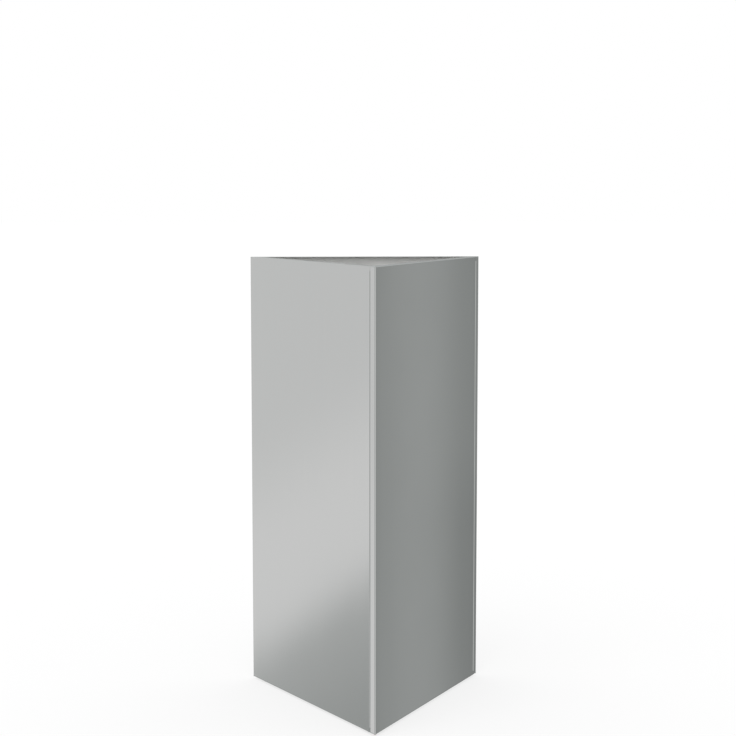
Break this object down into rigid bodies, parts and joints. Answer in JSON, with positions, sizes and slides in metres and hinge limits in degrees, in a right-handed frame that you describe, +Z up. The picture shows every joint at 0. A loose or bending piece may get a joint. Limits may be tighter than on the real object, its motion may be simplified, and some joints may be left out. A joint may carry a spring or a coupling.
{
  "type": "triangular planter",
  "caption": "Tall floor planter with a triangular plan, folded from steel sheet panels with screwed corner seams, a drained floor tray and low rubber feet.",
  "frame": {"origin": "on the ground, in the middle of the box round the planter", "axes": "+Z up, the front corner points to -Y, the back face looks to +Y, +X to the right when seen from the front"},
  "size_m": [0.5304, 0.46, 1],
  "materials": {
    "panel_steel": "satin silver, fine vertical grain",
    "tray_steel": "dull galvanised",
    "zinc_fasteners": "bright zinc plate",
    "foot_rubber": "matt black"
  },
  "bodies": {
    "root": {"right_panel": "panel_steel", "back_panel": "panel_steel", "left_panel": "panel_steel", "floor_tray": "tray_steel", "front_seam_screws": "zinc_fasteners", "front_seam_washers": "zinc_fasteners", "front_seam_nuts": "zinc_fasteners", "right_seam_screws": "zinc_fasteners", "right_seam_washers": "zinc_fasteners", "right_seam_nuts": "zinc_fasteners", "left_seam_screws": "zinc_fasteners", "left_seam_washers": "zinc_fasteners", "left_seam_nuts": "zinc_fasteners", "floor_screws": "zinc_fasteners", "floor_washers": "zinc_fasteners", "floor_nuts": "zinc_fasteners", "foot_screws": "zinc_fasteners", "foot_washers": "zinc_fasteners", "foot_nuts": "zinc_fasteners", "front_foot": "foot_rubber", "right_foot": "foot_rubber", "left_foot": "foot_rubber"}
  },
  "joints": []
}
